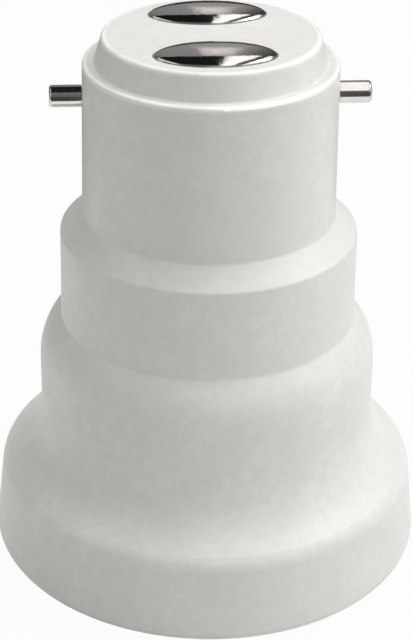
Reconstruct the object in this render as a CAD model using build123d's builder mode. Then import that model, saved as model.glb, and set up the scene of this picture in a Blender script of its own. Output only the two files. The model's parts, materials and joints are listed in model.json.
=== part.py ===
import os
from math import radians, tan

from build123d import *

os.makedirs("parts", exist_ok=True)

# Lamp socket adapter: bayonet cap at the top, screw socket at the bottom.
# Millimetres. Z is the lamp axis, Z = 0 is the plane of the mouth, X runs through both bayonet pins.

# Screw socket: shell size over the thread's roots, and its sheet
thread_diameter = 26.6
sheet = 0.4
shell_bend = 0.6
shell_gap = 0.15
shell_recess = 9.0
flange_margin = 0.4

# Housing, outside, from the mouth up
mouth_diameter = 39.2
rim_height = 7.5
rim_top_diameter = 37.5
flare_height = 2.8
flare_radius = 5.5
skirt_height = 7.7
skirt_wall = 1.2
shoulder_height = 4.3
collar_height = 8.1
collar_draft = 0.1
cone_height = 1.7
barrel_diameter = 22.1
barrel_length = 13.7
barrel_draft = 0.2
ledge_width = 1.0
boss_height = 2.3
boss_taper = 0.65
mouth_edge_radius = 0.75
rim_edge_radius = 1.6
barrel_edge_radius = 0.25
boss_foot_radius = 0.15
soft_corner = 0.3

# Housing, inside
rim_wall = 2.0
mouth_inner_radius = 0.4
funnel_height = 3.4
funnel_lip = 1.0
seat_drop = 2.4
seat_ledge = 2.05
collar_wall = 1.3
core_drop = 0.9
barrel_wall = 1.85
crown_wall = 2.3
boss_wall = 2.0
end_wall = 2.6
rib_count = 4
rib_depth = 1.0
rib_width = 1.4

# Bayonet pins
pin_diameter = 1.9
pin_span = 27.3
pin_drop = 5.35
pin_end_radius = 0.25
pin_shank_diameter = 1.5
pin_shank_gap = 0.02
pin_boss_diameter = 4.6
pin_boss_depth = 2.8

# Contact pads in the end face
pad_length = 10.05
pad_width = 5.5
pad_crown = 0.75
pad_depth = 0.5
pad_offset = 5.05
pad_gap = 0.1
tail_width = 2.4
tail_thickness = 0.8
tail_length = 3.6
tail_gap = 0.1

# Socket base
base_gap = 0.05
base_ring_height = 2.2
rivet_channel = 2.95
hat_wall = 1.3
recess_depth = 3.4
base_floor = 2.2

# Hollow rivets
rivet_diameter = 2.0
rivet_bore = 1.0
rivet_head_diameter = 2.8
rivet_head_height = 0.4
rivet_gap = 0.1

# Sprung centre contact
strip = 0.4
strip_width = 4.4
foot_margin = 1.1
foot_length = 3.7
foot_rivet = 1.8
tongue_angle = 24.0
tongue_run = 5.4
tongue_bend = 1.4
tip_run = 1.3
tip_rise = 0.8

# Leads
lead_diameter = 1.6
lead_bend = 3.0
lead_upper_bend = 1.0
lead_lower_bend = 2.4
strip_back = 0.6

# Heights up the axis
skirt_z = rim_height + flare_height
shoulder_z = skirt_z + skirt_height
collar_z = shoulder_z + shoulder_height
cone_z = collar_z + collar_height
barrel_z = cone_z + cone_height
ledge_z = barrel_z + barrel_length
top_z = ledge_z + boss_height
seat_z = collar_z - seat_drop
pin_z = top_z - pin_drop
step_z = ledge_z - crown_wall
end_wall_z = top_z - end_wall

# Radii
mouth_r = mouth_diameter / 2
rim_top_r = rim_top_diameter / 2
thread_r = thread_diameter / 2
shell_r = thread_r + sheet
shell_bore_r = shell_r + shell_gap
skirt_r = shell_bore_r + skirt_wall
base_bore_r = shell_bore_r - seat_ledge
collar_r = base_bore_r + collar_wall
collar_top_r = collar_r - collar_draft
barrel_r = barrel_diameter / 2
barrel_top_r = barrel_r - barrel_draft
boss_foot_r = barrel_top_r - ledge_width
boss_r = boss_foot_r - boss_taper
mouth_bore_r = mouth_r - rim_wall
barrel_bore_r = barrel_r - barrel_wall
end_bore_r = boss_r - boss_wall
hat_r = base_bore_r - rivet_channel
recess_r = hat_r - hat_wall
base_r = base_bore_r - base_gap
flange_r = recess_r + flange_margin
rivet_circle_r = (hat_r + base_bore_r) / 2

# Levels of the socket base
ring_top_z = seat_z + base_ring_height
recess_z = seat_z + recess_depth
hat_top_z = recess_z + base_floor

# Mouth funnel, which leads the lamp cap into the shell
funnel_top_z = shell_recess - funnel_lip
funnel_z = funnel_top_z - funnel_height
funnel_r = mouth_bore_r - (mouth_r - rim_top_r) * funnel_z / rim_height
core_z = cone_z - core_drop
barrel_core_z = barrel_z - core_drop

# Pin heads sit on the drafted barrel, and the shanks end flush with the bosses inside it
pin_rise = pin_z - pin_diameter / 2 - barrel_z
pin_seat_r = barrel_r - barrel_draft * pin_rise / barrel_length
pin_reach = barrel_bore_r - pin_boss_depth

# Tongue strip, foot to tip, along its upper face
foot_x = foot_margin - recess_r
bend_x = foot_x + foot_length
centre_rivet_x = foot_x + foot_rivet
low_x = bend_x + tongue_run
low_z = recess_z - tongue_run * tan(radians(tongue_angle))
tip_x = low_x + tip_run
tip_z = low_z + tip_rise

# Lead ends and bends
wire_r = rivet_bore / 2
wire_y = pad_offset - tail_thickness / 2 - wire_r
tail_z = end_wall_z - tail_length
lead_top_z = tail_z - strip_back
upper_bend_z = barrel_core_z + lead_upper_bend
lower_bend_z = hat_top_z + lead_lower_bend

# Seat of a pad with room round it, and the slot for its tail
with BuildPart() as pad_pocket:
    with BuildSketch(Plane.XY.offset(top_z)):
        with Locations((0, -pad_offset)):
            Ellipse(pad_length / 2 + pad_gap, pad_width / 2 + pad_gap)
    extrude(amount=-pad_depth)
    with BuildSketch(Plane.XY.offset(top_z)):
        with Locations((0, -pad_offset)):
            Rectangle(tail_width + 2 * tail_gap, tail_thickness + 2 * tail_gap)
    extrude(amount=-2 * end_wall)

# Upper half of an egg-shaped solid, the dome of a pad
with BuildPart() as pad_dome:
    Sphere(1, arc_size1=0, align=(Align.CENTER, Align.CENTER, Align.MIN))
    scale(by=(pad_length / 2, pad_width / 2, pad_crown))

# Housing: stepped moulding with a flared mouth and a raised end boss
with BuildPart() as housing:
    with BuildSketch(Plane.XZ) as outside:
        with BuildLine():
            FilletPolyline(
                (0, 0),
                (mouth_r, 0),
                (rim_top_r, rim_height),
                (skirt_r, skirt_z),
                (skirt_r, shoulder_z),
                radius=[mouth_edge_radius, rim_edge_radius, flare_radius],
            )
            TangentArc((skirt_r, shoulder_z), (collar_r, collar_z), tangent=(0, 1))
            FilletPolyline(
                (collar_r, collar_z),
                (collar_top_r, cone_z),
                (barrel_r, barrel_z),
                (barrel_top_r, ledge_z),
                (boss_foot_r, ledge_z),
                (boss_r, top_z),
                (0, top_z),
                radius=[soft_corner, soft_corner, barrel_edge_radius, boss_foot_radius, soft_corner],
            )
            Line((0, top_z), (0, 0))
        make_face()
        fillet(outside.vertices().sort_by_distance((collar_r, collar_z))[0], soft_corner)
    revolve(axis=Axis.Z)

    # Funnel, shell bore, base bore and cored barrel
    with BuildSketch(Plane.XZ):
        with BuildLine():
            FilletPolyline(
                (0, 0),
                (mouth_bore_r, 0),
                (funnel_r, funnel_z),
                (shell_bore_r, funnel_top_z),
                (shell_bore_r, seat_z),
                (base_bore_r, seat_z),
                (base_bore_r, core_z),
                (barrel_bore_r, barrel_core_z),
                (barrel_bore_r, step_z),
                (end_bore_r, step_z),
                (end_bore_r, end_wall_z),
                (0, end_wall_z),
                radius=[0, 0, soft_corner, soft_corner, 0, 0, 0, 0, 0, 0, 0, 0],
                close=True,
            )
        make_face()
    revolve(axis=Axis.Z, mode=Mode.SUBTRACT)
    mouth_edges = housing.edges().filter_by(GeomType.CIRCLE).group_by(Axis.Z)[0]
    fillet(mouth_edges.sort_by(SortBy.RADIUS)[0], mouth_inner_radius)

    # Ribs that the socket base seats against
    with BuildSketch(Plane.XY.offset(ring_top_z)):
        with PolarLocations(base_bore_r, rib_count, start_angle=45):
            Rectangle(2 * rib_depth, rib_width)
    extrude(amount=core_z - ring_top_z)

    # Bosses and holes for the bayonet pins
    for side in (1, -1):
        with BuildSketch(Plane.YZ.offset(side * pin_reach)):
            with Locations((0, pin_z)):
                Circle(pin_boss_diameter / 2)
        extrude(amount=side * (pin_boss_depth + barrel_wall / 2))
    with BuildSketch(Plane.YZ):
        with Locations((0, pin_z)):
            Circle(pin_shank_diameter / 2 + pin_shank_gap)
    extrude(amount=barrel_r, both=True, mode=Mode.SUBTRACT)

    # Seats and slots for the contact pads
    add(pad_pocket.part, mode=Mode.SUBTRACT)
    mirror(pad_pocket.part, about=Plane.XZ, mode=Mode.SUBTRACT)

# Bayonet pin: head on the barrel, thinner shank pressed into the wall
with BuildPart() as bayonet_pin_right:
    with BuildSketch(Plane.YZ.offset(pin_seat_r)):
        with Locations((0, pin_z)):
            Circle(pin_diameter / 2)
    extrude(amount=pin_span / 2 - pin_seat_r)
    fillet(bayonet_pin_right.edges().sort_by(Axis.X)[-1], pin_end_radius)
    with BuildSketch(Plane.YZ.offset(pin_reach)):
        with Locations((0, pin_z)):
            Circle(pin_shank_diameter / 2)
    extrude(amount=pin_seat_r - pin_reach)

with BuildPart() as bayonet_pin_left:
    mirror(bayonet_pin_right.part, about=Plane.YZ)

# Contact pad: domed oval head with a flat tail through the end wall
with BuildPart() as contact_pad_front:
    with Locations((0, -pad_offset, top_z)):
        add(pad_dome.part)
    extrude(contact_pad_front.faces().sort_by(Axis.Z)[0], amount=pad_depth)
    with BuildSketch(Plane.XY.offset(tail_z)):
        with Locations((0, -pad_offset)):
            Rectangle(tail_width, tail_thickness)
    extrude(amount=top_z - pad_depth - tail_z)

with BuildPart() as contact_pad_rear:
    mirror(contact_pad_front.part, about=Plane.XZ)

# Socket base: ring under the collar's ribs, hat with a recess for the centre contact
with BuildPart() as socket_base:
    with BuildSketch(Plane.XZ):
        with BuildLine():
            Polyline(
                (recess_r, seat_z),
                (base_r, seat_z),
                (base_r, ring_top_z),
                (hat_r, ring_top_z),
                (hat_r, hat_top_z),
                (0, hat_top_z),
                (0, recess_z),
                (recess_r, recess_z),
                close=True,
            )
        make_face()
    revolve(axis=Axis.Z)
    with BuildSketch(Plane.XY.offset(seat_z)):
        with PolarLocations(rivet_circle_r, 2, start_angle=90):
            Circle(rivet_diameter / 2 + rivet_gap)
        with Locations((centre_rivet_x, 0)):
            Circle(rivet_diameter / 2 + rivet_gap)
    extrude(amount=hat_top_z - seat_z, mode=Mode.SUBTRACT)

# Screw shell: sleeve bent in to a flange at its closed end
with BuildPart() as screw_shell:
    with BuildSketch(Plane.XZ):
        with BuildLine():
            FilletPolyline(
                (thread_r, shell_recess),
                (shell_r, shell_recess),
                (shell_r, seat_z),
                (flange_r, seat_z),
                (flange_r, seat_z - sheet),
                (thread_r, seat_z - sheet),
                radius=[0, 0, shell_bend + sheet, 0, 0, shell_bend],
                close=True,
            )
        make_face()
    revolve(axis=Axis.Z)
    with BuildSketch(Plane.XY.offset(seat_z)):
        with PolarLocations(rivet_circle_r, 2, start_angle=90):
            Circle(rivet_diameter / 2 + rivet_gap)
    extrude(amount=-sheet, mode=Mode.SUBTRACT)

# Hollow rivets through the flange and the base ring
with BuildPart() as shell_rivets:
    with BuildSketch(Plane.XY.offset(seat_z - sheet)):
        with PolarLocations(rivet_circle_r, 2, start_angle=90):
            Circle(rivet_head_diameter / 2)
    extrude(amount=-rivet_head_height)
    with BuildSketch(Plane.XY.offset(seat_z - sheet)):
        with PolarLocations(rivet_circle_r, 2, start_angle=90):
            Circle(rivet_diameter / 2)
    extrude(amount=sheet + base_ring_height)
    with BuildSketch(Plane.XY.offset(ring_top_z)):
        with PolarLocations(rivet_circle_r, 2, start_angle=90):
            Circle(rivet_head_diameter / 2)
    extrude(amount=rivet_head_height)
    with BuildSketch(Plane.XY.offset(ring_top_z + rivet_head_height)):
        with PolarLocations(rivet_circle_r, 2, start_angle=90):
            Circle(rivet_bore / 2)
    extrude(amount=-(base_ring_height + sheet + 2 * rivet_head_height), mode=Mode.SUBTRACT)

# Hollow rivet through the tongue's foot and the base floor
with BuildPart() as centre_rivet:
    with BuildSketch(Plane.XY.offset(recess_z - strip)):
        with Locations((centre_rivet_x, 0)):
            Circle(rivet_head_diameter / 2)
    extrude(amount=-rivet_head_height)
    with BuildSketch(Plane.XY.offset(recess_z - strip)):
        with Locations((centre_rivet_x, 0)):
            Circle(rivet_diameter / 2)
    extrude(amount=strip + base_floor)
    with BuildSketch(Plane.XY.offset(hat_top_z)):
        with Locations((centre_rivet_x, 0)):
            Circle(rivet_head_diameter / 2)
    extrude(amount=rivet_head_height)
    with BuildSketch(Plane.XY.offset(hat_top_z + rivet_head_height)):
        with Locations((centre_rivet_x, 0)):
            Circle(rivet_bore / 2)
    extrude(amount=-(base_floor + strip + 2 * rivet_head_height), mode=Mode.SUBTRACT)

# Centre contact: strip with a riveted foot, bent down to a turned-up tip
with BuildPart() as centre_contact:
    with BuildLine(Plane.XZ.offset(strip_width / 2)) as strip_line:
        FilletPolyline(
            (foot_x, recess_z),
            (bend_x, recess_z),
            (low_x, low_z),
            (tip_x, tip_z),
            radius=tongue_bend,
        )
    make_brake_formed(strip, strip_width, strip_line.line, side=Side.RIGHT)
    with BuildSketch(Plane.XY.offset(recess_z)):
        with Locations((centre_rivet_x, 0)):
            Circle(rivet_diameter / 2 + rivet_gap)
    extrude(amount=-strip, mode=Mode.SUBTRACT)

# Lead from the front pad's tail to the centre rivet, bare at both ends
with BuildPart() as centre_lead:
    with BuildLine():
        FilletPolyline(
            (0, -wire_y, lead_top_z),
            (0, -wire_y, upper_bend_z),
            (centre_rivet_x, 0, lower_bend_z),
            (centre_rivet_x, 0, hat_top_z + rivet_head_height),
            radius=lead_bend,
        )
    with BuildSketch(Plane.XY.offset(lead_top_z)):
        with Locations((0, -wire_y)):
            Circle(lead_diameter / 2)
    sweep()
    with BuildSketch(Plane.XY.offset(lead_top_z)):
        with Locations((0, -wire_y)):
            Circle(wire_r)
    extrude(amount=end_wall_z - strip_back - lead_top_z)
    with BuildSketch(Plane.XY.offset(hat_top_z + rivet_head_height)):
        with Locations((centre_rivet_x, 0)):
            Circle(wire_r)
    extrude(amount=-(rivet_head_height + base_floor))

# Lead from the rear pad's tail to the rear shell rivet
with BuildPart() as shell_lead:
    with BuildLine():
        FilletPolyline(
            (0, wire_y, lead_top_z),
            (0, wire_y, upper_bend_z),
            (0, rivet_circle_r, lower_bend_z),
            (0, rivet_circle_r, ring_top_z + rivet_head_height),
            radius=lead_bend,
        )
    with BuildSketch(Plane.XY.offset(lead_top_z)):
        with Locations((0, wire_y)):
            Circle(lead_diameter / 2)
    sweep()
    with BuildSketch(Plane.XY.offset(lead_top_z)):
        with Locations((0, wire_y)):
            Circle(wire_r)
    extrude(amount=end_wall_z - strip_back - lead_top_z)
    with BuildSketch(Plane.XY.offset(ring_top_z + rivet_head_height)):
        with Locations((0, rivet_circle_r)):
            Circle(wire_r)
    extrude(amount=-(rivet_head_height + base_ring_height))

housing.part.label = "housing"
bayonet_pin_left.part.label = "bayonet_pin_left"
bayonet_pin_right.part.label = "bayonet_pin_right"
contact_pad_front.part.label = "contact_pad_front"
contact_pad_rear.part.label = "contact_pad_rear"
socket_base.part.label = "socket_base"
screw_shell.part.label = "screw_shell"
centre_contact.part.label = "centre_contact"
centre_rivet.part.label = "centre_rivet"
shell_rivets.part.label = "shell_rivets"
centre_lead.part.label = "centre_lead"
shell_lead.part.label = "shell_lead"

export_step(housing.part, "parts/housing.step")
export_step(bayonet_pin_left.part, "parts/bayonet_pin_left.step")
export_step(bayonet_pin_right.part, "parts/bayonet_pin_right.step")
export_step(contact_pad_front.part, "parts/contact_pad_front.step")
export_step(contact_pad_rear.part, "parts/contact_pad_rear.step")
export_step(socket_base.part, "parts/socket_base.step")
export_step(screw_shell.part, "parts/screw_shell.step")
export_step(centre_contact.part, "parts/centre_contact.step")
export_step(centre_rivet.part, "parts/centre_rivet.step")
export_step(shell_rivets.part, "parts/shell_rivets.step")
export_step(centre_lead.part, "parts/centre_lead.step")
export_step(shell_lead.part, "parts/shell_lead.step")
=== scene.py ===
"""Lamp socket adapter: bayonet cap above, screw socket below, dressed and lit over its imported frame."""

import json
import math

import bmesh
import bpy
from bpy.props import FloatProperty, FloatVectorProperty, IntProperty, PointerProperty
from mathutils import Matrix, Quaternion, Vector


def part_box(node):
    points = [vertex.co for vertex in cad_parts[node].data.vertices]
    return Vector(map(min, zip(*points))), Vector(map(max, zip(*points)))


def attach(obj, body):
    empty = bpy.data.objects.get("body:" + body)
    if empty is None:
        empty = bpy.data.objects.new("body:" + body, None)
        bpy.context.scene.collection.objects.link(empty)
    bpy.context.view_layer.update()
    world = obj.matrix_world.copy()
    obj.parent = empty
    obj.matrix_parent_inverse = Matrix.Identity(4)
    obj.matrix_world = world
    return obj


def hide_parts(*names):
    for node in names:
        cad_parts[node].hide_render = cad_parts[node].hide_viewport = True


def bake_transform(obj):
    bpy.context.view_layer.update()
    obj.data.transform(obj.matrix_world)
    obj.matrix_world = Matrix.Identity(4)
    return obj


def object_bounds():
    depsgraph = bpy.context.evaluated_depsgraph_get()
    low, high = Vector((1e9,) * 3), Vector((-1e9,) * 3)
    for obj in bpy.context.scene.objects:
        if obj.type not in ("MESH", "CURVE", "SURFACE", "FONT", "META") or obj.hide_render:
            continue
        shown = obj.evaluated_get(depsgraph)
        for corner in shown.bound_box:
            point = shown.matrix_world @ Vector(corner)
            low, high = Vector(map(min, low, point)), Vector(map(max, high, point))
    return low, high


bl_info = {
    "name": "Lamp Socket Adapter",
    "version": (1, 0, 0),
    "blender": (4, 5, 0),
    "location": "View3D > Sidebar > Adapter",
    "description": "Finishes, screw shell, sprung contact and studio for a lamp socket adapter",
    "category": "Object",
}

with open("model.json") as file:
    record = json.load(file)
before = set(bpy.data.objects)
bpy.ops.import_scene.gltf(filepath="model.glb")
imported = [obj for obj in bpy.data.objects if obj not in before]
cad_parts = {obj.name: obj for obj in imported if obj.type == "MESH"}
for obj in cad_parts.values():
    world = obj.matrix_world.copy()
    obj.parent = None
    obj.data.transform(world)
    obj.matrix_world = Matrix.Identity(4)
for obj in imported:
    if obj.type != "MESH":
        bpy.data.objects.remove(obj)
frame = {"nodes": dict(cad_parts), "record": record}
cad_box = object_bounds()
slot_colour = {slot["slot"]: tuple(slot["base_color"]) for slot in frame["record"]["materials"]}
shell_low, shell_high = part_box("screw_shell")
strip_low, strip_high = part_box("centre_contact")
rivet_low, rivet_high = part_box("centre_rivet")
shell_rivets_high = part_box("shell_rivets")[1]
base_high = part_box("socket_base")[1]
pad_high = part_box("contact_pad_front")[1]
pin_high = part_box("bayonet_pin_right")[1]
lead_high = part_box("centre_lead")[1]
mm = 0.001

# Points closer than this count as one
same_place = 1e-6

# The shell's rivets are as wide as the centre one, and all three pass through holes of one size
rivet_middle = (rivet_low + rivet_high) / 2
rivet_radius = (rivet_high.x - rivet_low.x) / 2
shell_rivet_y = shell_rivets_high.y - rivet_radius
rivet_hole_radius = 1.1 * mm

# Radius and height of the housing's edges that get a painted highlight: end of the barrel, end face
highlight_edges = ((10.80 * mm, 45.75 * mm), (9.20 * mm, 48.10 * mm))

# Radians in a metre of the pattern that the leads' braid follows
braid_rate = 9000.0


# Sizes and colours that can be changed


class AdapterMoulding(bpy.types.PropertyGroup):
    """White housing and the socket base inside it"""

    colour: FloatVectorProperty(
        name="Housing",
        description="Pigment of the white housing",
        subtype="COLOR",
        min=0.0,
        max=1.0,
        default=(0.80, 0.785, 0.755),
    )
    base_colour: FloatVectorProperty(
        name="Base",
        description="Pigment of the socket base",
        subtype="COLOR",
        min=0.0,
        max=1.0,
        default=slot_colour["base_moulding"],
    )
    roughness: FloatProperty(
        name="Roughness",
        description="Mean gloss of the moulded skin",
        subtype="FACTOR",
        min=0.0,
        max=1.0,
        default=0.44,
    )
    grain: FloatProperty(
        name="Grain",
        description="Pitch of the fine texture that the mould leaves",
        unit="LENGTH",
        min=0.00002,
        max=0.002,
        default=0.00022,
    )
    cloud: FloatProperty(
        name="Clouding",
        description="Size of the faint patches in the pigment",
        unit="LENGTH",
        min=0.0005,
        max=0.05,
        default=0.0045,
    )


class AdapterMetal(bpy.types.PropertyGroup):
    """Contacts, pins, shell sheet, spring strip, rivets and leads"""

    nickel: FloatVectorProperty(
        name="Nickel",
        description="Plating of the pads and the pins",
        subtype="COLOR",
        min=0.0,
        max=1.0,
        default=slot_colour["polished_nickel"],
    )
    sheet: FloatVectorProperty(
        name="Shell sheet",
        description="Plated sheet of the screw shell",
        subtype="COLOR",
        min=0.0,
        max=1.0,
        default=slot_colour["shell_sheet"],
    )
    strip: FloatVectorProperty(
        name="Spring strip",
        description="Rolled strip of the centre contact",
        subtype="COLOR",
        min=0.0,
        max=1.0,
        default=slot_colour["spring_strip"],
    )
    brass: FloatVectorProperty(
        name="Rivets",
        description="Brass of the hollow rivets",
        subtype="COLOR",
        min=0.0,
        max=1.0,
        default=slot_colour["rivet_brass"],
    )
    covering: FloatVectorProperty(
        name="Lead covering",
        description="Braided sleeve of the leads",
        subtype="COLOR",
        min=0.0,
        max=1.0,
        default=slot_colour["lead_covering"],
    )
    polish: FloatProperty(
        name="Polish",
        description="Roughness of the plated pads and pins",
        subtype="FACTOR",
        min=0.0,
        max=1.0,
        default=0.07,
    )


class AdapterThread(bpy.types.PropertyGroup):
    """Rolled thread of the screw shell and its flange"""

    pitch: FloatProperty(
        name="Pitch",
        description="Rise of the round thread in one turn",
        unit="LENGTH",
        min=0.001,
        max=0.01,
        default=25.4 / 7 * mm,
    )
    depth: FloatProperty(
        name="Depth",
        description="From the thread's root to its crest",
        unit="LENGTH",
        min=0.0002,
        max=0.003,
        default=1.1 * mm,
    )
    sheet: FloatProperty(
        name="Sheet",
        description="Thickness of the shell",
        unit="LENGTH",
        min=0.0001,
        max=0.002,
        default=0.4 * mm,
    )
    bend: FloatProperty(
        name="Bend",
        description="Inside radius where the sleeve turns in to the flange",
        unit="LENGTH",
        min=0.0001,
        max=0.003,
        default=0.6 * mm,
    )
    eye: FloatProperty(
        name="Flange hole",
        description="Radius of the opening in the flange",
        unit="LENGTH",
        min=0.001,
        max=0.012,
        default=7.95 * mm,
    )
    steps: IntProperty(
        name="Steps",
        description="Faces in one turn",
        min=24,
        max=360,
        default=120,
    )


class AdapterContact(bpy.types.PropertyGroup):
    """Sprung strip at the bottom of the socket"""

    thickness: FloatProperty(
        name="Thickness",
        description="Thickness of the strip",
        unit="LENGTH",
        min=0.0001,
        max=0.002,
        default=0.4 * mm,
    )
    foot: FloatProperty(
        name="Foot",
        description="Length of the riveted foot",
        unit="LENGTH",
        min=0.001,
        max=0.01,
        default=3.7 * mm,
    )
    tongue: FloatProperty(
        name="Tongue",
        description="Reach of the tongue along the socket's floor",
        unit="LENGTH",
        min=0.001,
        max=0.01,
        default=5.4 * mm,
    )
    slope: FloatProperty(
        name="Slope",
        description="Angle of the tongue below its foot",
        unit="ROTATION",
        min=0.0,
        max=1.0,
        default=math.radians(24.0),
    )
    tip_reach: FloatProperty(
        name="Tip reach",
        description="Length of the turned-up tip along the socket's floor",
        unit="LENGTH",
        min=0.0005,
        max=0.004,
        default=1.3 * mm,
    )
    tip_rise: FloatProperty(
        name="Tip rise",
        description="Rise of the turned-up tip",
        unit="LENGTH",
        min=0.0,
        max=0.004,
        default=0.8 * mm,
    )
    bend: FloatProperty(
        name="Bend",
        description="Radius of both bends on the strip's upper face",
        unit="LENGTH",
        min=0.0002,
        max=0.005,
        default=1.4 * mm,
    )


class AdapterStage(bpy.types.PropertyGroup):
    """Floor, lamps and camera"""

    floor: FloatVectorProperty(
        name="Floor",
        description="Colour of the floor where light falls on it",
        subtype="COLOR",
        min=0.0,
        max=1.0,
        default=(0.62, 0.62, 0.61),
    )
    fill: FloatProperty(
        name="Fill",
        description="Strength of the even light from all round",
        min=0.0,
        max=2.0,
        default=0.185,
    )
    key: FloatProperty(
        name="Key",
        description="Power of the large lamp on the right",
        unit="POWER",
        min=0.0,
        max=50.0,
        default=1.19,
    )
    key_place: FloatVectorProperty(
        name="Key place",
        description="Centre of the large lamp",
        subtype="TRANSLATION",
        unit="LENGTH",
        default=(0.389, 0.0, 0.419),
    )
    head: FloatProperty(
        name="Overhead",
        description="Power of the soft lamp overhead",
        unit="POWER",
        min=0.0,
        max=50.0,
        default=1.40,
    )
    head_place: FloatVectorProperty(
        name="Overhead place",
        description="Centre of the soft lamp",
        subtype="TRANSLATION",
        unit="LENGTH",
        default=(0.146, 0.146, 0.54),
    )
    side: FloatProperty(
        name="Side",
        description="Power of the soft lamp on the left",
        unit="POWER",
        min=0.0,
        max=50.0,
        default=0.87,
    )
    side_place: FloatVectorProperty(
        name="Side place",
        description="Centre of the lamp on the left",
        subtype="TRANSLATION",
        unit="LENGTH",
        default=(-0.389, 0.0, 0.419),
    )
    front: FloatProperty(
        name="Front",
        description="Power of the low lamp in front, to the right",
        unit="POWER",
        min=0.0,
        max=50.0,
        default=0.84,
    )
    front_place: FloatVectorProperty(
        name="Front place",
        description="Centre of the low lamp in front",
        subtype="TRANSLATION",
        unit="LENGTH",
        default=(0.376, -0.376, 0.172),
    )
    under: FloatProperty(
        name="Under",
        description="Power of the small lamp that shines up into the socket",
        unit="POWER",
        min=0.0,
        max=50.0,
        default=0.30,
    )
    lens: FloatProperty(
        name="Lens",
        description="Focal length on a 36 mm sensor side",
        unit="CAMERA",
        min=10.0,
        max=400.0,
        default=102.85,
    )
    shift_across: FloatProperty(
        name="Shift across",
        description="Sideways shift of the lens, in longest image sides",
        min=-0.5,
        max=0.5,
        default=0.1023,
    )
    shift_up: FloatProperty(
        name="Shift up",
        description="Upward shift of the lens, in longest image sides",
        min=-0.5,
        max=0.5,
        default=-0.0866,
    )
    camera_place: FloatVectorProperty(
        name="Camera",
        description="Place of the camera",
        subtype="TRANSLATION",
        unit="LENGTH",
        default=(-0.01058, -0.14427, 0.10035),
    )
    camera_aim: FloatVectorProperty(
        name="Aim",
        description="Point that the camera looks at",
        subtype="TRANSLATION",
        unit="LENGTH",
        default=(-0.00597, 0.0, 0.02662),
    )
    camera_roll: FloatProperty(
        name="Roll",
        description="Tilt of the camera about its own axis",
        unit="ROTATION",
        min=-0.5,
        max=0.5,
        default=math.radians(-0.197),
    )


# Shader expressions


class Wire:
    """An output socket; arithmetic on it adds Math nodes to its tree."""

    def __init__(self, graph, socket):
        self.graph = graph
        self.socket = socket

    def peer(self, name):
        """Another output of the same node."""
        return Wire(self.graph, self.socket.node.outputs[name])

    def __add__(self, other):
        return self.graph.math("ADD", self, other)

    def __radd__(self, other):
        return self.graph.math("ADD", other, self)

    def __sub__(self, other):
        return self.graph.math("SUBTRACT", self, other)

    def __rsub__(self, other):
        return self.graph.math("SUBTRACT", other, self)

    def __mul__(self, other):
        return self.graph.math("MULTIPLY", self, other)

    def __rmul__(self, other):
        return self.graph.math("MULTIPLY", other, self)

    def __truediv__(self, other):
        return self.graph.math("DIVIDE", self, other)

    def __rtruediv__(self, other):
        return self.graph.math("DIVIDE", other, self)

    def __pow__(self, other):
        return self.graph.math("POWER", self, other)

    def __abs__(self):
        return self.graph.math("ABSOLUTE", self)

    def above(self, low, high):
        """0 below low, 1 over high and a smooth step between them."""
        return self.graph.node(
            "ShaderNodeMapRange",
            {"interpolation_type": "SMOOTHSTEP"},
            {0: self, 1: low, 2: high, 3: 0.0, 4: 1.0},
        )


class Graph:
    """A node tree that is filled one node at a time."""

    def __init__(self, tree):
        self.tree = tree
        tree.nodes.clear()

    def plug(self, socket, value):
        if isinstance(value, Wire):
            self.tree.links.new(value.socket, socket)
        else:
            socket.default_value = value

    def node(self, kind, settings=None, inputs=None, output=0):
        made = self.tree.nodes.new(kind)
        for key, value in (settings or {}).items():
            if key == "stops":
                ramp = made.color_ramp
                while len(ramp.elements) < len(value):
                    ramp.elements.new(1.0)
                for element, (place, colour) in zip(ramp.elements, value):
                    element.position = place
                    element.color = colour
            else:
                setattr(made, key, value)
        for key, value in (inputs or {}).items():
            self.plug(made.inputs[key], value)
        return Wire(self, made.outputs[output]) if made.outputs else None

    def math(self, operation, *values):
        return self.node("ShaderNodeMath", {"operation": operation}, dict(enumerate(values)))

    def place(self):
        return self.node("ShaderNodeTexCoord", output="Object")

    def split(self, vector):
        x = self.node("ShaderNodeSeparateXYZ", inputs={0: vector})
        return x, x.peer("Y"), x.peer("Z")

    def join(self, x, y, z):
        return self.node("ShaderNodeCombineXYZ", inputs={0: x, 1: y, 2: z})

    def noise(self, vector, size, detail=2.0, roughness=0.5, distortion=0.0):
        return self.node(
            "ShaderNodeTexNoise",
            inputs={
                "Vector": vector,
                "Scale": 1.0 / size,
                "Detail": detail,
                "Roughness": roughness,
                "Distortion": distortion,
            },
        )

    def mix(self, factor, first, second):
        return self.node(
            "ShaderNodeMix",
            {"data_type": "RGBA"},
            {0: factor, 6: opaque(first), 7: opaque(second)},
            output=2,
        )

    def bump(self, height, strength, distance):
        return self.node(
            "ShaderNodeBump",
            inputs={"Height": height, "Strength": strength, "Distance": distance},
        )


def opaque(colour):
    """A colour triple with full alpha; a wire passes through."""
    return colour if isinstance(colour, Wire) else (*colour, 1.0)


def grey(tone):
    """A grey level or a colour triple as an opaque colour."""
    return opaque(tone if isinstance(tone, tuple) else (tone, tone, tone))


def shade(colour, amount):
    """A colour made darker or lighter, kept between 0 and 1."""
    return tuple(min(1.0, max(0.0, part * amount)) for part in colour)


def blank(name):
    """A new material and the empty graph of its nodes."""
    material = bpy.data.materials.new(name)
    material.use_nodes = True
    return material, Graph(material.node_tree)


def finish(name, build):
    """A material whose surface is the principled shader that build fills."""
    material, graph = blank(name)
    surface = graph.node("ShaderNodeBsdfPrincipled", inputs=build(graph))
    graph.node("ShaderNodeOutputMaterial", inputs={"Surface": surface})
    return material


def dress(node, material):
    """Gives a carried-over solid its finish."""
    mesh = frame["nodes"][node].data
    mesh.materials.clear()
    mesh.materials.append(material)


# Finishes


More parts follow.
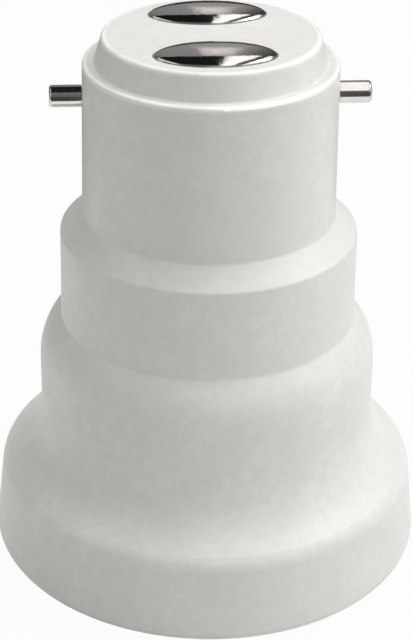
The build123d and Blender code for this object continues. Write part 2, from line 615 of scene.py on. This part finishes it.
def white_moulding(name, pigment, roughness, grain, cloud, edges=()):
    """Matt moulding: clouded and mottled pigment, mould grain, slow flow marks, and a painted highlight
    along the given edges.
    """

    def build(graph):
        place = graph.place()
        x, y, z = graph.split(place)
        patches = graph.noise(place, cloud, 4.0, 0.55)
        flow = graph.noise(graph.join(x * 0.6, y * 0.6, z * 1.7), cloud * 2.6, 2.0, 0.5, 0.6)
        mottle = graph.noise(place, grain * 4.5, 3.0, 0.7)
        skin = graph.noise(place, grain, 3.0, 0.6)
        peel = graph.noise(place, grain * 9.0, 2.0, 0.5)
        specks = graph.noise(place, grain * 4.0, 1.0, 0.4).above(0.74, 0.80)
        tone = graph.mix(patches.above(0.30, 0.72), shade(pigment, 0.98), shade(pigment, 1.04))
        tone = graph.mix(mottle.above(0.36, 0.64) * 0.65, tone, shade(pigment, 0.94))
        tone = graph.mix(flow.above(0.45, 0.75) * 0.35, tone, shade(pigment, 0.95))
        tone = graph.mix(specks * 0.10, tone, shade(pigment, 0.72))
        gloss = roughness - 0.05 + flow * 0.06 + skin * 0.05
        reach = (x * x + y * y) ** 0.5
        for radius, height in edges:
            away = ((reach - radius) ** 2.0 + (z - height) ** 2.0) ** 0.5
            # Painted highlight: the pigment is lightened along each given edge, which is also made smoother
            edge_highlight = (1.0 - away.above(0.15 * mm, 0.50 * mm)) * patches.above(0.10, 0.50)
            tone = graph.mix(edge_highlight, tone, shade(pigment, 1.22))
            gloss = gloss - edge_highlight * 0.1
        relief = graph.bump(skin * 0.6 + peel, 0.22, 0.03 * mm)
        return {"Base Color": tone, "Roughness": gloss, "Normal": relief}

    return finish(name, build)


def polished_pad(name, metal, polish):
    """Pressed and plated contact: slight dents, buffing marks along it, a thin film, and a rougher rim with
    painted shade.
    """

    def build(graph):
        place = graph.place()
        x, y, z = graph.split(place)
        buffing = graph.noise(graph.join(x * 0.08, y, z), 0.12 * mm, 3.0, 0.6)
        dents = graph.noise(place, 0.9 * mm, 2.0, 0.5)
        film = graph.noise(place, 2.2 * mm, 3.0, 0.55)
        # Painted shade: the pad is darkened towards its rim, which is also made rougher
        rim = 1.0 - z.above(pad_high.z - 0.75 * mm, pad_high.z - 0.55 * mm)
        tone = graph.mix(film.above(0.35, 0.75) * 0.5, metal, shade(metal, 0.88))
        tone = graph.mix(rim * 0.6, tone, shade(metal, 0.72))
        gloss = polish - 0.02 + buffing * 0.04 + film * 0.03 + rim * 0.12
        relief = graph.bump(dents + buffing * 0.04, 1.0, 0.012 * mm)
        return {"Base Color": tone, "Metallic": 1.0, "Roughness": gloss, "Normal": relief}

    return finish(name, build)


def turned_pin(name, metal, polish):
    """Turned and plated pin: fine rings round its axis and a duller end."""

    def build(graph):
        place = graph.place()
        x, y, z = graph.split(place)
        rings = graph.noise(graph.join(x, y * 0.06, z * 0.06), 0.09 * mm, 3.0, 0.65)
        film = graph.noise(place, 1.2 * mm, 3.0, 0.55)
        end = abs(x).above(pin_high.x - 0.45 * mm, pin_high.x - 0.05 * mm)
        tone = graph.mix(film.above(0.35, 0.75) * 0.45, metal, shade(metal, 0.86))
        tone = graph.mix(end * 0.4, tone, shade(metal, 0.80))
        gloss = polish + rings * 0.06 + film * 0.03 + end * 0.10
        relief = graph.bump(rings, 0.12, 0.01 * mm)
        return {"Base Color": tone, "Metallic": 1.0, "Roughness": gloss, "Normal": relief}

    return finish(name, build)


def rolled_sheet(name, metal):
    """Plated sheet rolled to a thread: drawn lines round the shell and rubbed crests."""

    def build(graph):
        place = graph.place()
        x, y, z = graph.split(place)
        reach = (x * x + y * y) ** 0.5
        turn = graph.math("ARCTAN2", y, x)
        drawn = graph.noise(graph.join(turn * (0.6 * mm), reach, z), 0.14 * mm, 4.0, 0.65)
        film = graph.noise(place, 3.0 * mm, 4.0, 0.6)
        crest = 1.0 - reach.above(shell_high.x - 1.4 * mm, shell_high.x - 0.9 * mm)
        tone = graph.mix(film.above(0.35, 0.8) * 0.6, metal, shade(metal, 0.80))
        tone = graph.mix(crest * 0.35, tone, shade(metal, 1.10))
        gloss = 0.24 + drawn * 0.12 + film * 0.10 - crest * 0.06
        relief = graph.bump(drawn, 0.16, 0.02 * mm)
        return {"Base Color": tone, "Metallic": 1.0, "Roughness": gloss, "Normal": relief}

    return finish(name, build)


def rolled_strip(name, metal):
    """Spring strip: rolling lines along it, a warm film, and a rubbed patch where the lamp presses."""

    def build(graph):
        place = graph.place()
        x, y, z = graph.split(place)
        rolling = graph.noise(graph.join(x * 0.05, y, z * 0.3), 0.10 * mm, 4.0, 0.65)
        film = graph.noise(place, 1.8 * mm, 4.0, 0.6)
        touch = 1.0 - z.above(strip_low.z + 0.25 * mm, strip_low.z + 0.95 * mm)
        tone = graph.mix(film.above(0.35, 0.8) * 0.7, metal, shade(metal, 0.74))
        tone = graph.mix(touch * 0.5, tone, shade(metal, 1.15))
        gloss = 0.27 + rolling * 0.14 + film * 0.08 - touch * 0.08
        relief = graph.bump(rolling, 0.18, 0.02 * mm)
        return {"Base Color": tone, "Metallic": 1.0, "Roughness": gloss, "Normal": relief}

    return finish(name, build)


def turned_brass(name, metal, centre_x, centre_y):
    """Hollow rivet: turning rings round its own axis, painted shade in its bore."""

    def build(graph):
        place = graph.place()
        x, y, z = graph.split(place)
        across = x - centre_x
        along = abs(y) - centre_y
        reach = (across * across + along * along) ** 0.5
        rings = graph.noise(graph.join(reach, z * 0.2, 0.0), 0.08 * mm, 2.0, 0.6)
        film = graph.noise(place, 1.1 * mm, 3.0, 0.55)
        # Painted shade: the bore is darkened, and also made rougher
        shaded_bore = 1.0 - reach.above(0.5 * mm, 0.62 * mm)
        tone = graph.mix(film.above(0.35, 0.75) * 0.6, metal, shade(metal, 0.78))
        tone = graph.mix(shaded_bore * 0.7, tone, shade(metal, 0.45))
        gloss = 0.22 + rings * 0.14 + shaded_bore * 0.2
        relief = graph.bump(rings, 0.15, 0.02 * mm)
        return {"Base Color": tone, "Metallic": 1.0, "Roughness": gloss, "Normal": relief}

    return finish(name, build)


def braided_lead(name, covering, tin):
    """Braided sleeve over tinned wire: crossing strands on the sleeve, bare metal at both ends."""

    def build(graph):
        place = graph.place()
        x, y, z = graph.split(place)
        over = graph.math("SINE", (x + y + z) * braid_rate)
        under = graph.math("SINE", (x - y - z) * braid_rate)
        weave = graph.math("MAXIMUM", over, under).above(-0.2, 1.0)
        fuzz = graph.noise(place, 0.3 * mm, 3.0, 0.6)
        upper = z.above(lead_high.z - 0.02 * mm, lead_high.z)
        lower = 1.0 - z.above(base_high.z + 0.30 * mm, base_high.z + 0.40 * mm)
        bare = graph.math("MAXIMUM", upper, lower)
        cloth = graph.mix(weave, shade(covering, 0.72), covering)
        cloth = graph.mix(fuzz.above(0.4, 0.8) * 0.4, cloth, shade(covering, 0.85))
        tone = graph.mix(bare, cloth, tin)
        gloss = 0.75 + fuzz * 0.1 - bare * 0.45
        relief = graph.bump(weave, 0.4, 0.06 * mm)
        return {"Base Color": tone, "Metallic": bare, "Roughness": gloss, "Normal": relief}

    return finish(name, build)


# Mesh helpers


def settle(name, bm, material, crease=math.radians(38.0)):
    """Turns a bmesh into a piece with smooth curves and sharp folds, its place in its mesh."""
    for face in bm.faces:
        face.smooth = True
    for edge in bm.edges:
        edge.smooth = edge.calc_face_angle(math.pi) < crease
    mesh = bpy.data.meshes.new(name)
    bm.to_mesh(mesh)
    bm.free()
    mesh.materials.append(material)
    piece = bpy.data.objects.new(name, mesh)
    bpy.context.scene.collection.objects.link(piece)
    return piece


def draw_out(bm, edges):
    """Extrudes a run of edges and gives the new vertices and edges."""
    out = bmesh.ops.extrude_edge_only(bm, edges=edges)["geom"]
    verts = [part for part in out if isinstance(part, bmesh.types.BMVert)]
    fresh = set(verts)
    front = [part for part in out if isinstance(part, bmesh.types.BMEdge) and set(part.verts) <= fresh]
    return verts, front


def round_off(bm, parts, offset, segments, affect="EDGES"):
    """Rounds edges or corners."""
    bmesh.ops.bevel(
        bm,
        geom=parts,
        offset=offset,
        offset_type="OFFSET",
        affect=affect,
        segments=segments,
        profile=0.5,
        material=-1,
    )


def punch(bm, centre, radius, clear):
    """Cuts a round hole into a level sheet: takes out the near faces and draws their rim in to a circle."""
    near = [face for face in bm.faces if (face.calc_center_median() - centre).length < clear]
    gone = set(near)
    rim = [edge for edge in bm.edges if sum(face in gone for face in edge.link_faces) == 1]
    bmesh.ops.delete(bm, geom=near, context="FACES")
    for vertex in draw_out(bm, rim)[0]:
        vertex.co = centre + (vertex.co - centre).normalized() * radius


def face_along(bm, towards):
    """Makes all faces of a sheet point the way that towards gives for a face."""
    bmesh.ops.recalc_face_normals(bm, faces=bm.faces[:])
    votes = sum(1 if face.normal.dot(towards(face)) > 0 else -1 for face in bm.faces)
    if votes < 0:
        bmesh.ops.reverse_faces(bm, faces=bm.faces[:])


# Operators


class ADAPTER_OT_housing(bpy.types.Operator):
    """Give the white housing its moulded finish"""

    bl_idname = "adapter.housing"
    bl_label = "Housing"

    def execute(self, context):
        look = context.scene.adapter_moulding
        moulding = white_moulding(
            "housing_white", look.colour, look.roughness, look.grain, look.cloud, highlight_edges
        )
        dress("housing", moulding)
        return {"FINISHED"}


class ADAPTER_OT_contacts(bpy.types.Operator):
    """Plate the contact pads and the bayonet pins"""

    bl_idname = "adapter.contacts"
    bl_label = "Pads and pins"

    def execute(self, context):
        look = context.scene.adapter_metal
        pad = polished_pad("pad_nickel", look.nickel, look.polish)
        pin = turned_pin("pin_nickel", look.nickel, look.polish)
        for side in ("front", "rear"):
            dress(f"contact_pad_{side}", pad)
        for side in ("left", "right"):
            dress(f"bayonet_pin_{side}", pin)
        return {"FINISHED"}


class ADAPTER_OT_socket_base(bpy.types.Operator):
    """Finish the socket base, its rivets and the leads above it"""

    bl_idname = "adapter.socket_base"
    bl_label = "Base, rivets and leads"

    def execute(self, context):
        look = context.scene.adapter_moulding
        metal = context.scene.adapter_metal
        moulding = white_moulding(
            "base_white", look.base_colour, look.roughness + 0.1, look.grain * 1.4, look.cloud * 0.6
        )
        dress("socket_base", moulding)
        dress("centre_rivet", turned_brass("centre_rivet_brass", metal.brass, rivet_middle.x, 0.0))
        dress("shell_rivets", turned_brass("shell_rivet_brass", metal.brass, 0.0, shell_rivet_y))
        lead = braided_lead("lead_sleeve", metal.covering, metal.sheet)
        dress("centre_lead", lead)
        dress("shell_lead", lead)
        return {"FINISHED"}


class ADAPTER_OT_screw_shell(bpy.types.Operator):
    """Roll the screw shell: round thread, plain lip, bend and riveted flange"""

    bl_idname = "adapter.screw_shell"
    bl_label = "Screw shell"

    def execute(self, context):
        size = context.scene.adapter_thread
        root = shell_high.x - size.sheet
        low = shell_low.z
        flange = shell_high.z - size.sheet
        lip = 0.7 * mm
        neck = 0.5 * mm
        thread_low = low + lip
        thread_high = flange - size.bend - neck

        # Plain sleeve, in rows fine enough for the thread
        rows_in_a_turn = 20
        bm = bmesh.new()
        foot = bm.verts.new((root, 0.0, thread_low))
        head = bm.verts.new((root, 0.0, thread_high))
        wall = bm.edges.new((foot, head))
        rows = round(rows_in_a_turn * (thread_high - thread_low) / size.pitch)
        bmesh.ops.subdivide_edges(bm, edges=[wall], cuts=rows)
        bmesh.ops.spin(
            bm,
            geom=bm.verts[:] + bm.edges[:],
            cent=(0.0, 0.0, 0.0),
            axis=(0.0, 0.0, 1.0),
            dvec=(0.0, 0.0, 0.0),
            angle=2 * math.pi,
            steps=size.steps,
            use_merge=True,
        )

        # The thread is rolled in: equal arcs at root and crest, running out into the lip and the bend
        bow = ((size.pitch / 4) ** 2 + (size.depth / 2) ** 2) / size.depth
        for vertex in bm.verts:
            climb = (vertex.co.z - thread_low) / size.pitch
            turn = math.atan2(vertex.co.y, vertex.co.x) / (2 * math.pi)
            aside = abs((climb - turn) % 1.0 - 0.5) * size.pitch
            if aside < size.pitch / 4:
                sink = size.depth - bow + math.sqrt(bow**2 - aside**2)
            else:
                sink = bow - math.sqrt(bow**2 - (size.pitch / 2 - aside) ** 2)
            room = min(vertex.co.z - thread_low, thread_high - vertex.co.z) / (0.5 * size.pitch)
            keep = min(1.0, max(0.0, room))
            vertex.co.xy *= 1.0 - sink * keep * keep * (3 - 2 * keep) / root

        # Lip below, sleeve above, then the flange turned in
        waist = (thread_low + thread_high) / 2
        open_edges = [edge for edge in bm.edges if edge.is_boundary]
        lower = [edge for edge in open_edges if edge.verts[0].co.z < waist]
        upper = [edge for edge in open_edges if edge.verts[0].co.z > waist]
        verts = draw_out(bm, lower)[0]
        bmesh.ops.translate(bm, verts=verts, vec=(0.0, 0.0, low - thread_low))
        verts, corner = draw_out(bm, upper)
        bmesh.ops.translate(bm, verts=verts, vec=(0.0, 0.0, flange - thread_high))
        verts = draw_out(bm, corner)[0]
        shrink = size.eye / root
        bmesh.ops.scale(bm, verts=verts, vec=(shrink, shrink, 1.0))
        round_off(bm, corner, size.bend, 6)

        # Rivet holes in the flange, which is cut into rings first
        spokes = [
            edge
            for edge in bm.edges
            if all(abs(vertex.co.z - flange) < same_place for vertex in edge.verts)
            and abs(edge.verts[0].co.xy.length - edge.verts[1].co.xy.length) > mm
        ]
        bmesh.ops.subdivide_edges(bm, edges=spokes, cuts=7, use_grid_fill=True)
        for side in (1.0, -1.0):
            punch(bm, Vector((0.0, side * shell_rivet_y, flange)), rivet_hole_radius, clear=1.75 * mm)
        bmesh.ops.remove_doubles(bm, verts=bm.verts[:], dist=same_place)

        # Sheet thickness goes outwards from the thread
        middle = Vector((0.0, 0.0, low))
        face_along(bm, lambda face: middle - face.calc_center_median())
        bmesh.ops.solidify(bm, geom=bm.faces[:], thickness=size.sheet)
        nickel = rolled_sheet("shell_nickel", context.scene.adapter_metal.sheet)
        shell = settle("threaded_shell", bm, nickel, math.radians(50.0))
        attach(shell, "adapter")
        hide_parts("screw_shell")
        return {"FINISHED"}


class ADAPTER_OT_centre_contact(bpy.types.Operator):
    """Form the sprung contact: riveted foot, sloping tongue and turned-up tip"""

    bl_idname = "adapter.centre_contact"
    bl_label = "Centre contact"

    def execute(self, context):
        size = context.scene.adapter_contact
        floor = strip_high.z
        foot_x = strip_low.x
        half = (strip_high.y - strip_low.y) / 2
        bend = Vector((foot_x + size.foot, 0.0, floor))
        low = bend + Vector((size.tongue, 0.0, -size.tongue * math.tan(size.slope)))
        tip = low + Vector((size.tip_reach, 0.0, size.tip_rise))
        rise = math.atan2(size.tip_rise, size.tip_reach)

        # Upper face, drawn out from the end of the foot
        bm = bmesh.new()
        row = [bm.verts.new((foot_x, half * (k / 4 - 1.0), floor)) for k in range(9)]
        row_edges = [bm.edges.new(pair) for pair in zip(row, row[1:])]
        here = Vector((foot_x, 0.0, floor))
        folds = []
        for there in (bend, low, tip):
            verts, row_edges = draw_out(bm, row_edges)
            bmesh.ops.translate(bm, verts=verts, vec=there - here)
            folds.append(row_edges)
            here = there
        for edges, angle in ((folds[0], size.slope), (folds[1], size.slope + rise)):
            round_off(bm, edges, size.bend * math.tan(angle / 2), 10)
        lengthwise = [
            edge
            for edge in bm.edges
            if abs(edge.verts[0].co.y - edge.verts[1].co.y) < same_place and edge.calc_length() > 2.0 * mm
        ]
        bmesh.ops.subdivide_edges(bm, edges=lengthwise, cuts=6, use_grid_fill=True)

        # Rivet hole in the foot, round corners at the tip and the foot
        punch(bm, Vector((rivet_middle.x, 0.0, floor)), rivet_hole_radius, clear=1.42 * mm)
        corner_cut = 0.42 * mm
        corners = [vertex for vertex in bm.verts if len(vertex.link_faces) == 1 and vertex.is_boundary]
        round_off(bm, corners, corner_cut, 5, "VERTICES")
        face_along(bm, lambda face: Vector((0.0, 0.0, 1.0)))
        bmesh.ops.solidify(bm, geom=bm.faces[:], thickness=size.thickness)
        bronze = rolled_strip("strip_bronze", context.scene.adapter_metal.strip)
        leaf = settle("contact_leaf", bm, bronze, math.radians(45.0))
        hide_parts("centre_contact")
        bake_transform(leaf)
        return {"FINISHED"}


# Sizes of the stage
floor_opening = 18.3 * mm
floor_rings = (0.06, 0.4, 3.0)
floor_drop = 0.05 * mm
lamp_side = 0.30
lamp_aim = (0.0, 0.0, 0.03)
under_lamp_side = 0.20
under_lamp_place = (0.0, 0.0, -0.25)
card_reach = math.radians(76.0)
white = (1.0, 1.0, 1.0, 1.0)

# Cards that metal reflects. A stop is an angle in degrees with a grey level or a colour. Sideways stops
# count to the right, upward stops from the horizon behind over the top, and the blend joins the two
studio_cards = (
    {
        "name": "backdrop",
        "radius": 0.6,
        "blend": "DARKEN",
        "sideways": (
            (-40, 0.10),
            (-18, 0.22),
            (0.5, 0.27),
            (3.5, (0.92, 0.80, 0.82)),
            (6.5, (0.74, 0.67, 0.68)),
            (9, (0.30, 0.27, 0.28)),
            (14, 0.13),
            (24, 0.06),
            (32, 0.045),
            (55, 0.20),
        ),
        "upward": ((-12, 0.045), (8, 0.045), (9, 0.32), (20, 0.34), (31, 0.95), (46, 0.40)),
    },
    {
        "name": "vault",
        "radius": 0.6,
        "blend": "LIGHTEN",
        "sideways": (
            (-54, 0.20),
            (-46, 1.1),
            (-37, 1.0),
            (-34, 0.01),
            (5.5, 0.01),
            (8, 1.3),
            (17, 1.3),
            (19, 0.08),
            (27, 0.08),
            (29, 1.1),
            (44, 1.1),
            (54, 0.15),
        ),
        "upward": ((46, 0.01), (122, 0.01), (124, 0.17), (150, 0.17)),
    },
    {
        "name": "front_wall",
        "radius": 0.6,
        "blend": "LIGHTEN",
        "sideways": ((-45, 0.30), (-10, 0.12), (22, 0.16), (32, 0.80)),
        "upward": ((150, 0.0), (178, 0.0)),
    },
    {
        "name": "front_skirting",
        "radius": 0.065,
        "blend": "LIGHTEN",
        "sideways": ((-7.5, 0.045), (-6, 0.95), (13, 0.95), (14.5, 0.065)),
        "upward": ((174, 0.0), (218, 0.0)),
    },
    {
        "name": "back_skirting",
        "radius": 0.065,
        "blend": "LIGHTEN",
        "sideways": ((-50, 0.03), (50, 0.03)),
        "upward": ((-42, 0.0), (-2, 0.0)),
    },
    {
        "name": "underlay",
        "radius": 0.6,
        "blend": "DARKEN",
        "sideways": ((-60, 0.35), (-42, 0.08), (-26, 1.15), (14, 1.15), (26, 0.25), (38, 0.06), (52, 0.65)),
        "upward": ((190, 0.35), (225, 1.15), (315, 1.15), (350, 0.35)),
    },
)


class ADAPTER_OT_stage(bpy.types.Operator):
    """Set up the floor, the lamps, the cards that metal reflects and the camera"""

    bl_idname = "adapter.stage"
    bl_label = "Stage"

    def execute(self, context):
        scene = context.scene
        look = scene.adapter_stage
        scene.view_settings.view_transform = "Standard"
        self.lay_floor(look)
        self.light_room(scene, look)
        self.hang_cards()
        self.aim_camera(scene, look)
        return {"FINISHED"}

    def seen(self, graph):
        """1 for rays from the camera and from mirror-like or clear surfaces."""
        camera = graph.node("ShaderNodeLightPath", output="Is Camera Ray")
        glossy = camera.peer("Is Glossy Ray")
        clear = camera.peer("Is Transmission Ray")
        return graph.math("MAXIMUM", graph.math("MAXIMUM", camera, glossy), clear)

    def lay_floor(self, look):
        """A pale floor, open under the mouth, that lets the view through from below."""
        bm = bmesh.new()
        bmesh.ops.create_circle(bm, segments=96, radius=floor_opening)
        rim = bm.edges[:]
        for radius in floor_rings:
            verts, rim = draw_out(bm, rim)
            reach = verts[0].co.length
            bmesh.ops.scale(bm, verts=verts, vec=(radius / reach, radius / reach, 1.0))
        face_along(bm, lambda face: Vector((0.0, 0.0, 1.0)))
        bmesh.ops.translate(bm, verts=bm.verts[:], vec=(0.0, 0.0, -floor_drop))
        material, graph = blank("pale_floor")
        lit = graph.node(
            "ShaderNodeBsdfPrincipled",
            inputs={"Base Color": opaque(look.floor), "Roughness": 0.7, "Specular IOR Level": 0.1},
        )
        glow = graph.node("ShaderNodeEmission", inputs={"Color": white, "Strength": 1.0})
        top = graph.node("ShaderNodeMixShader", inputs={0: self.seen(graph) * 0.95, 1: lit, 2: glow})
        below = graph.node("ShaderNodeNewGeometry", output="Backfacing")
        through = graph.node("ShaderNodeBsdfTransparent")
        surface = graph.node("ShaderNodeMixShader", inputs={0: below, 1: top, 2: through})
        graph.node("ShaderNodeOutputMaterial", inputs={"Surface": surface})
        settle("floor", bm, material)

    def light_room(self, scene, look):
        """Even fill from the room, a key lamp, and softer lamps that metal doesn't reflect."""
        world = bpy.data.worlds.new("studio")
        world.use_nodes = True
        graph = Graph(world.node_tree)
        fill = graph.node("ShaderNodeBackground", inputs={0: white, 1: look.fill})
        plain = graph.node("ShaderNodeBackground", inputs={0: white, 1: 1.0})
        surface = graph.node("ShaderNodeMixShader", inputs={0: self.seen(graph), 1: fill, 2: plain})
        graph.node("ShaderNodeOutputWorld", inputs={"Surface": surface})
        scene.world = world
        self.hang_lamp("key_lamp", look.key_place, lamp_aim, lamp_side, look.key)
        softer = (
            self.hang_lamp("head_lamp", look.head_place, lamp_aim, lamp_side, look.head),
            self.hang_lamp("side_lamp", look.side_place, lamp_aim, lamp_side, look.side),
            self.hang_lamp("front_lamp", look.front_place, lamp_aim, lamp_side, look.front),
            self.hang_lamp("under_lamp", under_lamp_place, (0.0, 0.0, 0.0), under_lamp_side, look.under),
        )
        for lamp in softer:
            lamp.visible_glossy = False

    def hang_lamp(self, name, place, aim, side, power):
        """A square lamp, hidden from the camera."""
        lamp = bpy.data.lights.new(name, "AREA")
        lamp.shape = "SQUARE"
        lamp.size = side
        lamp.energy = power
        holder = bpy.data.objects.new(name, lamp)
        bpy.context.scene.collection.objects.link(holder)
        holder.location = place
        holder.rotation_mode = "QUATERNION"
        holder.rotation_quaternion = (Vector(aim) - Vector(place)).to_track_quat("-Z", "Y")
        holder.visible_camera = False
        return holder

    def hang_cards(self):
        """Studio round the object that only reflections show: grey backdrop, dark vault with lit slots."""
        for card in studio_cards:
            self.curved_card(**card)

    def curved_card(self, name, radius, blend, sideways, upward):
        """A card bent round the object's top, toned by degrees to the right and degrees over the top."""
        half = radius * math.tan(card_reach)
        start = upward[0][0]
        end = upward[-1][0]
        crown = cad_box[1].z
        bm = bmesh.new()
        edge = bm.edges.new([bm.verts.new((x, radius, 0.0)) for x in (-half, half)])
        tilt = Matrix.Rotation(math.radians(start), 3, "X")
        bmesh.ops.rotate(bm, verts=bm.verts[:], cent=(0.0, 0.0, 0.0), matrix=tilt)
        bmesh.ops.spin(
            bm,
            geom=[*edge.verts, edge],
            cent=(0.0, 0.0, 0.0),
            axis=(1.0, 0.0, 0.0),
            dvec=(0.0, 0.0, 0.0),
            angle=math.radians(end - start),
            steps=24,
        )
        bmesh.ops.translate(bm, verts=bm.verts[:], vec=(0.0, 0.0, crown))
        material, graph = blank(name)
        x, y, z = graph.split(graph.place())
        middle = math.radians((start + end) / 2)
        rise = y * math.cos(middle) + (z - crown) * math.sin(middle)
        aside = (z - crown) * math.cos(middle) - y * math.sin(middle)
        turn = graph.math("ARCTAN2", aside, rise) / math.radians(end - start) + 0.5
        side = graph.math("ARCTAN2", x, radius) / (2 * card_reach) + 0.5
        across = [(0.5 + math.radians(degrees) / (2 * card_reach), grey(tone)) for degrees, tone in sideways]
        over = [((degrees - start) / (end - start), grey(tone)) for degrees, tone in upward]
        tone = graph.node(
            "ShaderNodeMix",
            {"data_type": "RGBA", "blend_type": blend},
            {
                0: 1.0,
                6: graph.node("ShaderNodeValToRGB", {"stops": across}, {0: side}),
                7: graph.node("ShaderNodeValToRGB", {"stops": over}, {0: turn}),
            },
            output=2,
        )
        surface = graph.node("ShaderNodeEmission", inputs={"Color": tone, "Strength": 1.0})
        graph.node("ShaderNodeOutputMaterial", inputs={"Surface": surface})
        card = settle(name, bm, material)
        card.visible_camera = False
        card.visible_diffuse = False
        card.visible_transmission = False
        card.visible_shadow = False

    def aim_camera(self, scene, look):
        """A camera at the photograph's viewing angle."""
        camera = bpy.data.cameras.new("camera")
        camera.sensor_width = 36.0
        camera.lens = look.lens
        camera.shift_x = look.shift_across
        camera.shift_y = look.shift_up
        camera.clip_start = 0.01
        camera.clip_end = 20.0
        holder = bpy.data.objects.new("camera", camera)
        scene.collection.objects.link(holder)
        place = Vector(look.camera_place)
        aim = Vector(look.camera_aim) - place
        holder.location = place
        holder.rotation_mode = "QUATERNION"
        turn = Quaternion((0.0, 0.0, 1.0), look.camera_roll)
        holder.rotation_quaternion = aim.to_track_quat("-Z", "Y") @ turn
        scene.camera = holder


class ADAPTER_PT_sidebar(bpy.types.Panel):
    """Lists the adapter's pieces and their settings"""

    bl_idname = "ADAPTER_PT_sidebar"
    bl_label = "Lamp Socket Adapter"
    bl_space_type = "VIEW_3D"
    bl_region_type = "UI"
    bl_category = "Adapter"

    def draw(self, context):
        for operator, shown in steps:
            box = self.layout.box()
            box.operator(operator.bl_idname)
            for name in shown:
                settings = getattr(context.scene, name)
                for field in settings.bl_rna.properties.keys():
                    if field not in {"rna_type", "name"}:
                        box.prop(settings, field)


groups = {
    "adapter_moulding": AdapterMoulding,
    "adapter_metal": AdapterMetal,
    "adapter_thread": AdapterThread,
    "adapter_contact": AdapterContact,
    "adapter_stage": AdapterStage,
}
steps = (
    (ADAPTER_OT_housing, ("adapter_moulding",)),
    (ADAPTER_OT_contacts, ("adapter_metal",)),
    (ADAPTER_OT_socket_base, ()),
    (ADAPTER_OT_screw_shell, ("adapter_thread",)),
    (ADAPTER_OT_centre_contact, ("adapter_contact",)),
    (ADAPTER_OT_stage, ("adapter_stage",)),
)


def register():
    for name, group in groups.items():
        bpy.utils.register_class(group)
        setattr(bpy.types.Scene, name, PointerProperty(type=group))
    for operator, _ in steps:
        bpy.utils.register_class(operator)
    bpy.utils.register_class(ADAPTER_PT_sidebar)


def unregister():
    bpy.utils.unregister_class(ADAPTER_PT_sidebar)
    for operator, _ in reversed(steps):
        bpy.utils.unregister_class(operator)
    for name, group in reversed(groups.items()):
        delattr(bpy.types.Scene, name)
        bpy.utils.unregister_class(group)


def main():
    register()
    bpy.ops.adapter.housing()
    bpy.ops.adapter.contacts()
    bpy.ops.adapter.socket_base()
    bpy.ops.adapter.screw_shell()
    bpy.ops.adapter.centre_contact()
    bpy.ops.adapter.stage()


if __name__ == "__main__":
    main()
